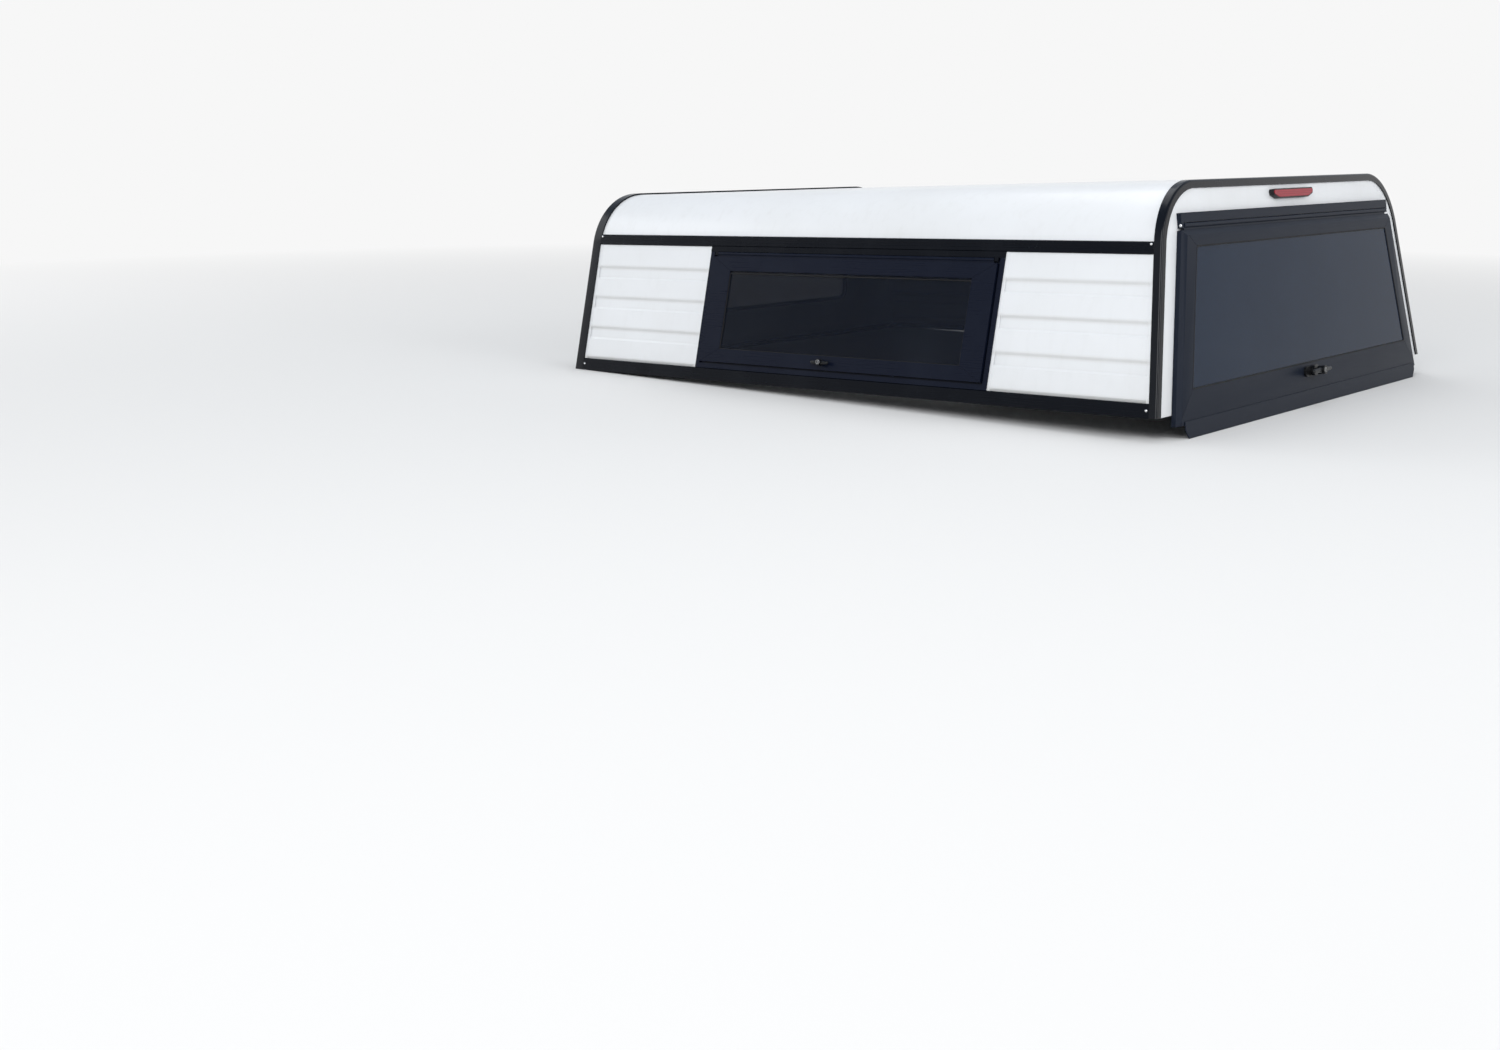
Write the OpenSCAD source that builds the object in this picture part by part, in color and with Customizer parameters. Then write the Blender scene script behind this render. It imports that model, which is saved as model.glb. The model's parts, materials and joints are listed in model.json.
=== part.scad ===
/* [Overall] */
// Length of the canopy along the bed rails
base_length = 2060; // [1500:10:2500]
// Width across the outer bottom edges of the base rails
base_width = 1730; // [1400:10:1900]
// Height of the roof above the rails' underside, at mid length
roof_height = 552; // [480:1:700]
// Lean of each side wall towards the middle, in degrees
side_lean = 14.25; // [4:0.25:18]
// Lean of the rear face towards the cab, in degrees
rear_lean = 7.5; // [0:0.5:12]
// Fall of the roof towards the cab, in degrees
roof_fall = 0.6; // [0:0.1:1.5]
// Outer radius of the roof sheet where it turns down into the sides
roof_radius = 195; // [120:5:230]

/* [Sheets] */
// Thickness of the roof sheet
roof_sheet = 2; // [1.5:0.5:4]
// Thickness of the ribbed siding
siding_sheet = 2; // [1:0.5:2.5]
// Thickness of the front wall, header and jamb sheets
wall_sheet = 2.5; // [2:0.5:4]

/* [Siding ribs] */
// Distance from one rib to the next
rib_pitch = 96.7; // [70:0.1:120]
// Width of the sunk band between two ribs
rib_valley = 34; // [20:1:50]
// Depth of the sunk band
rib_depth = 3.5; // [1:0.5:5]
// Height of the sloping flank between rib and sunk band
rib_flank = 7; // [2:0.5:8]
// Distance from the belt trim down to the first sunk band
rib_first = 68; // [50:1:90]

// Width of the lip along each end of a siding panel
rib_lip = 9; // [5:1:20]

/* [Trims and rails] */
// Thickness of the outer cap of each trim and rail
trim_cap = 5; // [3:0.5:8]
// Height of the belt trim
belt_height = 32; // [20:1:50]
// Height of the belt trim's lower edge above the rails' underside, along the side
belt_level = 402; // [380:1:430]
// Height of the base rail's outer cap
rail_height = 36; // [28:1:50]
// Depth of the base rail's seat on the bed rail
rail_seat = 32; // [24:1:50]
// Wall of the base rail and belt extrusions
rail_wall = 3; // [2:0.5:4]
// Level of the ledge in the base rail that carries the siding
rail_ledge = 14; // [10:1:20]
// Height of the shallow channel along the belt trim's face
belt_channel = 10; // [4:1:16]
// Depth of the belt extrusion behind the sheets
belt_depth = 20; // [14:1:30]
// Width of the front arch trim on the side and on the front
front_arch_leg = 36; // [24:1:45]
// Width of the rear arch trim on the side
rear_arch_side = 23; // [16:1:40]
// Width of the rear arch trim on the rear face
rear_arch_rear = 16; // [14:1:45]
// Thickness of the arch trims' end leg
arch_plate = 4; // [3:0.5:6]

/* [Rear door] */
// Distance from the canopy's side edge to the door's edge
door_margin = 76; // [60:1:110]
// Level of the door's top edge on the rear face
door_top = 448; // [420:1:455]
// Depth of the door below the rails' underside, over the tailgate
door_drop = 28; // [10:1:40]
// Thickness of the door frame
door_thick = 22; // [16:1:30]
// Thickness of the door frame along its bevelled rim
door_rim = 12; // [10:1:14]
// Width of the bevel along the door frame's top and sides
door_bevel = 14; // [6:1:20]
// Width of the door's stiles
door_stile = 66; // [40:1:90]
// Height of the door's top rail
door_top_rail = 42; // [30:1:80]
// Height of the door's bottom rail
door_bottom_rail = 84; // [60:1:110]
// Thickness of the door glass
door_glass = 5; // [4:0.5:8]
// Depth that the jambs reach in behind the door's edge
jamb_lap = 18; // [12:1:30]
// Depth of the skirt below the rails' underside
skirt_drop = 60; // [45:1:80]
// Height of the skirt strip
skirt_height = 44; // [30:1:60]
// Distance from the door's edge to the skirt's end
skirt_inset = 26; // [10:1:60]
// Height of the hinge band above the door
hinge_band = 24; // [18:1:30]
// Distance that the hinge band stands out from the header
hinge_stand = 12; // [10:1:16]
// Radius of the rear door's hinge pin
hinge_pin = 3.5; // [3:0.5:4.5]

/* [Side doors] */
// Width of each side door's surround
side_width = 1040; // [700:10:1200]
// Distance of the side door's middle behind mid length
side_back = 11; // [-80:1:80]
// Width of the surround's outer flange
side_flange = 14; // [12:1:20]
// Depth of the surround behind the siding
side_depth = 26; // [20:1:40]
// Thickness of the surround's walls
side_wall = 3; // [2:0.5:4]
// Width of the stop that the side door closes on
side_stop = 24; // [18:1:30]
// Running gap round the side door
side_gap = 5; // [5:0.5:8]
// Width of the side door's stiles
sash_stile = 72; // [50:1:90]
// Height of the side door's top rail
sash_top = 42; // [30:1:60]
// Height of the side door's bottom rail
sash_bottom = 40; // [36:1:60]
// Thickness of the side door's frame
sash_thick = 12; // [10:1:16]
// Thickness of the side door glass
sash_glass = 4; // [3:0.5:6]
// Height of the side hinge strip under the belt trim
side_hinge = 16; // [14:1:20]
// Radius of the side doors' hinge pins
side_pin = 2.5; // [2:0.5:3]

/* [Handles] */
// Length of the rear T-handle's grip
rear_grip = 120; // [80:5:160]
// Distance that the rear T-handle stands out from the door
rear_stand = 44; // [36:1:60]
// Level of the rear handle above the middle of the bottom rail
rear_raise = 18; // [0:1:19]
// Length of the oval base under the rear handle
rear_base = 92; // [60:2:120]
// Length of each side handle's grip
side_grip = 64; // [40:2:90]
// Distance that each side handle stands out from its door
side_stand = 22; // [20:1:30]
// Distance of each side handle ahead of its door's middle
side_ahead = 32; // [0:1:120]
// Radius of the handles' shafts
handle_shaft = 5; // [4:0.5:6]

/* [Front wall] */
// Width of the front window's opening
window_width = 1080; // [700:10:1200]
// Height of the front window's opening
window_height = 270; // [180:5:300]
// Level of the front window's lower edge
window_level = 130; // [100:5:180]
// Radius of the front window's corners
window_corner = 40; // [20:5:60]
// Width of the front window's frame
window_frame = 26; // [20:1:40]
// Thickness of the front window's glass
window_glass = 5; // [4:0.5:6]

/* [Roof bows and light] */
// Width of each roof bow
bow_width = 40; // [30:1:60]
// Depth of each roof bow
bow_depth = 18; // [12:1:25]
// Wall of each roof bow
bow_wall = 2.5; // [2:0.5:4]
// Width of the brake light along its top
light_width = 256; // [180:2:300]
// Height of the brake light
light_height = 26; // [18:1:32]
// Radius of the brake light's corners
light_corner = 9; // [6:0.5:12]
// Level of the brake light's middle on the rear face
light_level = 526; // [515:1:530]
// Distance that the brake light stands out from the header
light_stand = 14; // [8:1:20]

/* [Hidden] */
// Clearance between a pin and the knuckle that turns on it
pin_clear = 0.3;
// Clearance between a closed door and what it closes on
seat_clear = 0.3;
// Length of each block that holds the end of a hinge pin
lug_length = 12;
// How far the roof's turn stands out past true tangency, which gives it a clean edge
turn_ease = 0.03;
// Size that reaches past the whole canopy
big = 4000;
// How far a cut runs past the surface that it opens
past = 1;
// Width and depth of the lines where mitred frame members meet
mitre_line = 0.8;
// Lip of the bulkhead window's frame over the panel and the pane
window_lip = 8;
// Wall of the brake light's housing, and how far the light stands out
light_wall = 3;
light_lens = 6;
// Height of the rear hinge's pin above the door's top edge, past the pin's own radius
hinge_rise = 8;
// Number of roof bows, and how far they keep from the ends of the roof
bow_count = 4;
bow_margin = 100;
// How far the bows sit ahead of even spacing, as the rear face leans forward
bow_ahead = 30;
// Fineness of the curves
$fn = 96;

half_length = base_length / 2;
half_width = base_width / 2 - trim_cap / cos(side_lean);
roof_turn = atan(tan(roof_fall) / cos(side_lean));
turn_span = acos(sin(side_lean) * cos(roof_fall));
roof_axis_z = roof_height - roof_radius / cos(roof_fall);
roof_axis_s = (roof_axis_z + roof_radius * sin(side_lean)) / cos(side_lean);
rear_trace = cos(rear_lean) * tan(side_lean);
door_face = arch_plate - seat_clear;
door_out = door_face - door_thick;
skirt_thick = 3;
skirt_low = (door_out * sin(rear_lean) - skirt_drop) / cos(rear_lean);
base_thick = 6;
boss_radius = 14;
boss_height = 16;
rear_hub = 12;
side_hub = 9;
rear_grip_thick = 12;
side_grip_thick = 9;
// Handle hub: its depth behind the bar and its keyway as shares, and the ring round its lock
hub_back = 0.75;
key_length = 2 / 3;
lock_ring = 2;
lock_groove = 1;
rear_handle_level = door_bottom_rail / 2 - door_drop + rear_raise;
rear_reach = half_length - (door_out - rear_stand) * cos(rear_lean)
    - (rear_handle_level - rear_hub) * sin(rear_lean);
shift_x = (rear_reach - half_length) / 2;

// Frames of reference. The canopy stands on the floor on its skirt and front rail.
module placed() {
    translate([shift_x, 0, skirt_drop]) children();
}

// Along a side wall: X along the canopy, Y out of the wall, Z up the wall
module on_side(side) {
    mirror([0, side < 0 ? 1 : 0, 0])
        translate([0, half_width, 0]) rotate([side_lean, 0, 0]) children();
}

// On the rear face: X into the canopy, Y to the left, Z up the face
module on_rear() {
    translate([-half_length, 0, 0]) rotate([0, rear_lean, 0]) children();
}

// A profile drawn in Y and Z, drawn out along X
module along_x(from, to) {
    translate([from, 0, 0]) rotate([90, 0, 90]) linear_extrude(height = to - from) children();
}

// A profile drawn in X and Z, drawn out along Y
module along_y(from, to) {
    translate([0, to, 0]) rotate([90, 0, 0]) linear_extrude(height = to - from) children();
}

// The space between the two ends: inset from the front, and from the leaning rear face
module between_ends(front, rear, low = -roof_height, high = 2 * roof_height) {
    rear_low = -half_length + (rear + low * sin(rear_lean)) / cos(rear_lean);
    rear_high = -half_length + (rear + high * sin(rear_lean)) / cos(rear_lean);
    along_y(-big / 2, big / 2)
        polygon([[rear_low, low], [half_length - front, low], [half_length - front, high],
                 [rear_high, high]]);
}

// Half the width of the rear face at a level measured up the face
function rear_half(level) = half_width - level * rear_trace;

// The corner outside the roof's turn, along one side
module turn_cutter(side, grow) {
    reach = 2 * roof_radius;
    on_side(side) translate([0, -roof_radius, roof_axis_s]) rotate([0, 90 + roof_turn, 0])
        translate([0, 0, -big / 2]) difference() {
            linear_extrude(height = big)
                polygon([[0, 0], [0, reach],
                         [-2 * reach * sin(turn_span / 2), 2 * reach * cos(turn_span / 2)],
                         [-reach * sin(turn_span), reach * cos(turn_span)]]);
            translate([0, 0, -past])
                cylinder(r = roof_radius + grow + turn_ease, h = big + 2 * past);
        }
}

// The outer form of the canopy as a solid, grown by a given distance
module envelope(grow, low = 0) {
    spread = grow / cos(side_lean);
    top = roof_height + roof_radius;
    difference() {
        along_x(-base_length, base_length)
            polygon([[half_width + spread - low * tan(side_lean), low],
                     [half_width + spread - top * tan(side_lean), top],
                     [-half_width - spread + top * tan(side_lean), top],
                     [-half_width - spread + low * tan(side_lean), low]]);
        translate([0, 0, roof_height]) rotate([0, roof_fall, 0])
            translate([-big / 2, -big / 2, grow]) cube([big, big, big]);
        turn_cutter(1, grow);
        turn_cutter(-1, grow);
    }
}

module shell(outer, inner) {
    difference() {
        envelope(outer);
        envelope(inner, -past);
    }
}

// A flat outline with round corners about the given points, which run anticlockwise
module rounded(points, radius) {
    last = len(points) - 1;
    if (last > 1) polygon(points);
    for (k = [0 : last]) {
        a = points[k];
        b = points[k == last ? 0 : k + 1];
        out = radius * [b[1] - a[1], a[0] - b[0]] / norm(b - a);
        polygon([a, a + out, b + out, b]);
        translate(a) circle(r = radius);
    }
}

// A thin line cut between two points of a frame's face
module mitre(a, b, face) {
    along = (b - a) / norm(b - a);
    half = mitre_line / 2 * [-along[1], along[0]];
    from = a - past * along;
    to = b + 2 * past * along;
    along_x(face - past, face + mitre_line)
        polygon([from - half, to - half, to + half, from + half]);
}

// Roof
module roof_skin() {
    low = (belt_level + belt_height / 2) * cos(side_lean);
    color("whitesmoke") placed() intersection() {
        shell(0, -roof_sheet);
        between_ends(arch_plate + wall_sheet, arch_plate + wall_sheet, low);
    }
}

module roof_bow(index) {
    step = (base_length - 2 * bow_margin) / bow_count;
    middle = -half_length + bow_margin + bow_ahead + step * (index - 1 / 2);
    low = (belt_level + belt_height + trim_cap) * cos(side_lean);
    color("gainsboro") placed() intersection() {
        difference() {
            shell(-roof_sheet, -roof_sheet - bow_depth);
            intersection() {
                envelope(-roof_sheet - bow_wall, -past);
                translate([middle - bow_width / 2 + bow_wall, -big / 2, -past])
                    cube([bow_width - 2 * bow_wall, big, big]);
            }
        }
        translate([middle - bow_width / 2, -big / 2, low]) cube([bow_width, big, big]);
    }
}

// Belt trim: a cap outside, a web between the sheets and a flange inside
module belt_trim(side) {
    middle = belt_level + belt_height / 2;
    slot = rail_wall / 2;
    ease = trim_cap / 2;
    wide = belt_channel / 2;
    sunk = trim_cap - mitre_line;
    color("black") placed() intersection() {
        on_side(side) along_x(-big / 2, big / 2)
            polygon([[0, belt_level], [trim_cap - ease, belt_level], [trim_cap, belt_level + ease],
                     [trim_cap, middle - wide], [sunk, middle - wide + mitre_line],
                     [sunk, middle + wide - mitre_line], [trim_cap, middle + wide],
                     [trim_cap, belt_level + belt_height - ease],
                     [trim_cap - ease, belt_level + belt_height], [0, belt_level + belt_height],
                     [0, middle], [-belt_depth + rail_wall, middle],
                     [-belt_depth + rail_wall, belt_level + belt_height],
                     [-belt_depth, belt_level + belt_height], [-belt_depth, belt_level],
                     [-belt_depth + rail_wall, belt_level],
                     [-belt_depth + rail_wall, middle - 2 * slot], [0, middle - 2 * slot]]);
        between_ends(front_arch_leg, rear_arch_side);
    }
}

// Base rail: seated flat on the bed rail, with a cap outside and a ledge for the siding
function side_y(out, level) = half_width + out * cos(side_lean) - level * sin(side_lean);
function side_z(out, level) = out * sin(side_lean) + level * cos(side_lean);
function foot_y(out) = half_width + out / cos(side_lean);

module base_rail_side(side) {
    under = rail_ledge - rail_wall;
    ease = trim_cap / 2;
    color("black") placed() mirror([0, side < 0 ? 1 : 0, 0]) intersection() {
        along_x(-big / 2, big / 2)
            polygon([[foot_y(trim_cap), 0],
                     [side_y(trim_cap, rail_height - ease), side_z(trim_cap, rail_height - ease)],
                     [side_y(trim_cap - ease, rail_height), side_z(trim_cap - ease, rail_height)],
                     [side_y(0, rail_height), side_z(0, rail_height)],
                     [foot_y(0) - rail_ledge * tan(side_lean), rail_ledge],
                     [foot_y(-rail_seat), rail_ledge], [foot_y(-rail_seat), under],
                     [foot_y(0) - under * tan(side_lean), under],
                     [foot_y(0) - rail_wall * tan(side_lean), rail_wall],
                     [foot_y(-rail_seat), rail_wall],
                     [foot_y(-rail_seat), 0]]);
        between_ends(front_arch_leg, rear_arch_side);
    }
}

module base_rail_front() {
    color("black") placed()
        along_y(-front_rail_half(), front_rail_half())
            polygon([[half_length, 0], [half_length, rail_height - arch_plate / 2],
                     [half_length - arch_plate / 2, rail_height],
                     [half_length - arch_plate, rail_height],
                     [half_length - arch_plate, rail_ledge], [half_length - rail_seat, rail_ledge],
                     [half_length - rail_seat, rail_ledge - rail_wall],
                     [half_length - arch_plate, rail_ledge - rail_wall],
                     [half_length - arch_plate, rail_wall], [half_length - rail_seat, rail_wall],
                     [half_length - rail_seat, 0]]);
}
function front_rail_half() = half_width - front_arch_leg / cos(side_lean)
    - rail_height * tan(side_lean);

// Arch trims: an angle that wraps the sheets' edges over the whole arch
module front_arch_trim() {
    color("black") placed() difference() {
        intersection() {
            envelope(trim_cap);
            translate([half_length - front_arch_leg, -big / 2, 0])
                cube([front_arch_leg, big, big]);
        }
        envelope(-front_arch_leg, -past);
        intersection() {
            envelope(0, -past);
            translate([-big, -big / 2, -past]) cube([big + half_length - arch_plate, big, big]);
        }
    }
}

module rear_arch_trim() {
    color("black") placed() difference() {
        intersection() {
            envelope(trim_cap);
            between_ends(half_length, 0);
        }
        between_ends(-past, rear_arch_side);
        envelope(-rear_arch_rear, -past);
        intersection() {
            envelope(0, -past);
            between_ends(-past, arch_plate);
        }
    }
}

// Siding: a sheet with sunk bands, drawn as its outer line and the same line one sheet in
function band_line(out) = [
    for (k = [0 : 3])
        let (upper = belt_level - rib_first - k * rib_pitch, lower = upper - rib_valley)
        each [[out, upper], [out - rib_depth, upper - rib_flank],
              [out - rib_depth, lower], [out, lower - rib_flank]]
];
function above(points, level) = [for (p = points) if (p[1] > level) p];
function reversed(points) = [for (k = [len(points) - 1 : -1 : 0]) points[k]];

module siding_lip() {
    rise = trim_cap / 4;
    along_x(-big / 2, big / 2)
        polygon([[-siding_sheet, rail_height + seat_clear], [rise, rail_height + seat_clear],
                 [rise, belt_level - seat_clear], [-siding_sheet, belt_level - seat_clear]]);
}

module siding(side, from_x, to_x) {
    top = belt_level + belt_height / 2 - rail_wall;
    low = (rail_ledge + siding_sheet * sin(side_lean)) / cos(side_lean);
    outer = above(band_line(0), low);
    inner = above(band_line(-siding_sheet), low);
    color("white") placed() intersection() {
        on_side(side) along_x(from_x, to_x)
            polygon(concat([[0, top]], outer, [[0, low], [-siding_sheet, low]],
                           reversed(inner), [[-siding_sheet, top]]));
        between_ends(arch_plate + wall_sheet, arch_plate + wall_sheet);
    }
}

side_middle = -side_back;
side_half = side_width / 2;
frame_half = side_half - side_flange + side_wall;

module siding_front(side) {
    front = half_length - front_arch_leg - seat_clear;
    rear = side_middle + side_half + seat_clear;
    siding(side, side_middle + frame_half, half_length);
    color("white") placed() intersection() {
        on_side(side) siding_lip();
        for (x = [rear, front - rib_lip]) translate([x, -big / 2, 0]) cube([rib_lip, big, big]);
    }
}

module siding_rear(side) {
    front = side_middle - side_half - seat_clear;
    rear = rear_arch_side + seat_clear;
    siding(side, -base_length, side_middle - frame_half);
    color("white") placed() intersection() {
        on_side(side) siding_lip();
        union() {
            translate([front - rib_lip, -big / 2, 0]) cube([rib_lip, big, big]);
            difference() {
                between_ends(half_length, rear);
                between_ends(-past, rear + rib_lip);
            }
        }
    }
}

// Front wall with its window
module rounded_pane(width, height, radius) {
    translate([-width / 2 + radius, -height / 2]) square([width - 2 * radius, height]);
    translate([-width / 2, -height / 2 + radius]) square([width, height - 2 * radius]);
    for (x = [-1, 1], y = [-1, 1])
        translate([x * (width / 2 - radius), y * (height / 2 - radius)]) circle(r = radius);
}

module in_window(from, to) {
    translate([0, 0, window_level + window_height / 2]) along_x(from, to) children();
}

panel_out = half_length - arch_plate;
panel_in = panel_out - wall_sheet;

module bulkhead_panel() {
    color("white") placed() difference() {
        intersection() {
            envelope(0);
            translate([panel_in, -big / 2, rail_ledge]) cube([wall_sheet, big, big]);
        }
        in_window(panel_in - 1, panel_out + 1)
            rounded_pane(window_width, window_height, window_corner);
    }
}

module window_outline(inset) {
    rounded_pane(window_width - 2 * inset, window_height - 2 * inset, window_corner - inset);
}

module bulkhead_window_frame() {
    color("black") placed() {
        in_window(panel_in - window_lip, panel_out + window_lip) difference() {
            window_outline(0);
            window_outline(window_lip);
        }
        in_window(panel_out, panel_out + rail_wall) difference() {
            window_outline(-window_frame / 2);
            window_outline(window_lip / 2);
        }
    }
}

module bulkhead_window_glass() {
    middle = (panel_in + panel_out) / 2;
    color("darkslategray", 0.6) placed()
        in_window(middle - window_glass / 2, middle + window_glass / 2)
            window_outline(window_lip);
}

// Rear face: header and jambs round the doorway
header_low = door_top - jamb_lap;
function door_half(level) = rear_half(level) - door_margin;
function way_half(level) = door_half(level) - jamb_lap;

module rear_header() {
    color("white") placed() intersection() {
        envelope(0);
        on_rear() along_x(arch_plate, arch_plate + wall_sheet)
            translate([-big / 2, header_low]) square([big, big]);
    }
    color("white") placed() on_rear() along_x(arch_plate, arch_plate + side_depth)
        translate([-way_half(header_low), header_low])
            square([2 * way_half(header_low), rail_wall]);
}

module rear_jamb(side) {
    color("white") placed() {
        intersection() {
            envelope(0);
            mirror([0, side < 0 ? 1 : 0, 0])
                on_rear() along_x(arch_plate, arch_plate + wall_sheet)
                    polygon([[way_half(-door_drop), -door_drop], [big, -door_drop], [big, header_low],
                             [way_half(header_low), header_low]]);
        }
        intersection() {
            envelope(0);
            mirror([0, side < 0 ? 1 : 0, 0])
                on_rear() along_x(arch_plate, arch_plate + side_depth)
                    polygon([[way_half(-door_drop), -door_drop],
                             [way_half(-door_drop) + rail_wall, -door_drop],
                             [way_half(header_low) + rail_wall, header_low],
                             [way_half(header_low), header_low]]);
        }
    }
}

// Brake light: a rounded box that narrows downwards, with its lens set in the face

module light_outline(inset) {
    top = light_width / 2 - light_corner;
    low = top - light_height;
    high = light_height / 2 - light_corner;
    rounded([[low, -high], [top, high], [-top, high], [-low, -high]], light_corner - inset);
}

module brake_light_housing() {
    face = arch_plate - light_stand;
    color("black") placed() on_rear() translate([0, 0, light_level]) difference() {
        along_x(face, arch_plate) light_outline(0);
        along_x(face - past, face + light_lens) light_outline(light_wall);
    }
}

module brake_light_lens() {
    face = arch_plate - light_stand;
    color("darkred") placed() on_rear() translate([0, 0, light_level])
        along_x(face - light_wall / 2, face + light_lens) light_outline(light_wall);
}

// Rear door's hinge: a band on the header whose end blocks hold one long pin
hinge_level = door_top + hinge_pin + hinge_rise;
hinge_out = arch_plate - hinge_stand + hinge_pin;
knuckle = hinge_pin + pin_clear + 2.5;
band_low = hinge_level + knuckle + 1;
band_half = door_half(band_low);

module rear_hinge_rail() {
    color("dimgray") placed() on_rear() {
        along_x(arch_plate - hinge_stand, arch_plate)
            translate([-band_half, band_low]) square([2 * band_half, hinge_band]);
        for (side = [-1, 1])
            translate([arch_plate - hinge_stand, side * (band_half - lug_length / 2) - lug_length / 2,
                       hinge_level - knuckle])
                cube([hinge_stand, lug_length, band_low - hinge_level + knuckle]);
        translate([hinge_out, band_half - lug_length / 2, hinge_level]) rotate([90, 0, 0])
            cylinder(r = hinge_pin, h = 2 * band_half - lug_length);
    }
}

// Rear door: a frame that lies on the jambs, with one pane and a skirt over the tailgate
module door_plate(inset_side, low, high, from, to) {
    along_x(from, to)
        polygon([[-door_half(low) + inset_side, low], [door_half(low) - inset_side, low],
                 [door_half(high) - inset_side, high], [-door_half(high) + inset_side, high]]);
}

glass_low = -door_drop + door_bottom_rail;
glass_high = door_top - door_top_rail;
glass_lap = 8;
glass_sink = 2;

// The wedge that bevels one edge: across the edge in Y, along it in Z
module bevel_cut() {
    rise = door_thick - door_rim;
    slope = door_bevel / rise;
    translate([0, 0, -big / 2]) linear_extrude(height = big)
        polygon([[door_out - rise, -door_bevel - rise * slope],
                 [door_out + 2 * rise, rise * slope], [door_out - rise, rise * slope]]);
}

module rear_door_frame() {
    bar = 3;
    color("darkslategray") placed() on_rear() {
        difference() {
            door_plate(0, -door_drop, door_top, door_out, door_face);
            door_plate(door_stile, glass_low, glass_high, door_out - past, door_face + past);
            door_plate(door_stile - glass_lap, glass_low - glass_lap, glass_high + glass_lap,
                       door_out + glass_sink, door_out + glass_sink + door_glass);
            translate([0, 0, door_top]) rotate([90, 0, 0]) bevel_cut();
            for (side = [0, 1]) mirror([0, side, 0]) {
                translate([0, door_half(0), 0]) rotate([atan(rear_trace), 0, 0]) bevel_cut();
                mitre([door_half(-door_drop), -door_drop],
                      [door_half(glass_low) - door_stile, glass_low], door_out);
                mitre([door_half(door_top), door_top],
                      [door_half(glass_high) - door_stile, glass_high], door_out);
            }
        }
        difference() {
            union() {
                translate([hinge_out, band_half - lug_length - 1, hinge_level]) rotate([90, 0, 0])
                    cylinder(r = knuckle, h = 2 * (band_half - lug_length - 1));
                translate([hinge_out - bar / 2, -band_half + lug_length + 1, door_top - 1])
                    cube([bar, 2 * (band_half - lug_length - 1), hinge_level - door_top]);
            }
            translate([hinge_out, band_half, hinge_level]) rotate([90, 0, 0])
                cylinder(r = hinge_pin + pin_clear, h = 2 * band_half);
        }
    }
}

module rear_door_glass() {
    color("darkslategray", 0.6) placed() on_rear()
        door_plate(door_stile - glass_lap, glass_low - glass_lap, glass_high + glass_lap,
                   door_out + glass_sink, door_out + glass_sink + door_glass);
}

module rear_door_skirt() {
    low = skirt_low;
    high = low + skirt_height;
    cut = skirt_height / 2;
    run = skirt_height / 3;
    half = door_half(high) - skirt_inset;
    color("darkslategray") placed() on_rear() along_x(door_out - skirt_thick, door_out)
        polygon([[-half, high], [half, high], [half, low + cut], [half - run, low],
                 [-half + run, low], [-half, low + cut]]);
}

// Handles: a T on a shaft, with the lock's keyway in the face of its hub
module grip(length, hub, stand, thick) {
    bar = stand - thick;
    back = thick * hub_back;
    key = hub * key_length;
    cylinder(r = handle_shaft, h = bar);
    difference() {
        translate([0, 0, bar - back]) cylinder(r = hub, h = thick + back);
        translate([0, 0, stand - mitre_line]) difference() {
            cylinder(r = hub - lock_ring, h = thick);
            translate([0, 0, -past])
                cylinder(r = hub - lock_ring - lock_groove, h = thick + 2 * past);
        }
        translate([-key / 2, -mitre_line, stand - 2 * mitre_line])
            cube([key, 2 * mitre_line, thick]);
    }
    for (end = [-1, 1]) translate([0, 0, bar]) rotate([-90 * end, 0, 0]) {
        cylinder(r1 = thick * 2 / 3, r2 = thick / 2, h = length / 2 - thick / 2);
        translate([0, 0, length / 2 - thick / 2]) sphere(r = thick / 2);
    }
}

module on_rear_handle() {
    on_rear() translate([door_out, 0, rear_handle_level]) rotate([0, -90, 0]) children();
}

module rear_handle_base() {
    reach = rear_base / 2 - boss_radius;
    color("black") placed() on_rear_handle() difference() {
        union() {
            linear_extrude(height = base_thick) rounded([[0, -reach], [0, reach]], boss_radius);
            cylinder(r = boss_radius, h = boss_height);
        }
        translate([0, 0, -past]) cylinder(r = handle_shaft + pin_clear, h = boss_height + 2 * past);
    }
}

module rear_handle() {
    color("black") placed() on_rear_handle() translate([0, 0, seat_clear])
        grip(rear_grip, rear_hub, rear_stand - seat_clear, rear_grip_thick);
}

// Side doors: a surround in the wall, a hinge strip under the belt trim and a hung frame
side_face = trim_cap - 1;
way_high = belt_level - side_hinge;
stop_out = -3;
sash_back = stop_out + seat_clear;
sash_front = sash_back + sash_thick;
side_pin_out = side_pin + 1;
side_knuckle = side_pin + pin_clear + 2;
side_pin_level = way_high - side_knuckle - 0.7;
sash_high = side_pin_level - side_knuckle - side_gap;
sash_low = rail_height + side_flange + side_gap;
sash_half = side_half - side_flange - side_gap;
pane_half = sash_half - sash_stile;
pane_low = sash_low + sash_bottom;
pane_high = sash_high - sash_top;
pane_back = sash_back + (sash_thick - sash_glass) / 2;

module side_block(half, low, high, from, to) {
    translate([side_middle - half, from, low]) cube([2 * half, to - from, high - low]);
}

module side_surround(side) {
    inner = side_half - side_flange;
    low = rail_height + side_flange;
    color("black") placed() on_side(side) {
        difference() {
            side_block(side_half, rail_height, way_high, 0, side_face);
            side_block(inner, low, way_high + 1, -1, side_face + 1);
        }
        difference() {
            side_block(inner + side_wall, low - side_wall, way_high + side_wall, -side_depth, 0);
            side_block(inner, low, way_high, -side_depth - 1, 1);
        }
        difference() {
            side_block(inner, low, way_high, stop_out - side_wall, stop_out);
            side_block(inner - side_stop, low + side_stop, way_high - side_stop,
                       -side_depth, 1);
        }
    }
}

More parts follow.
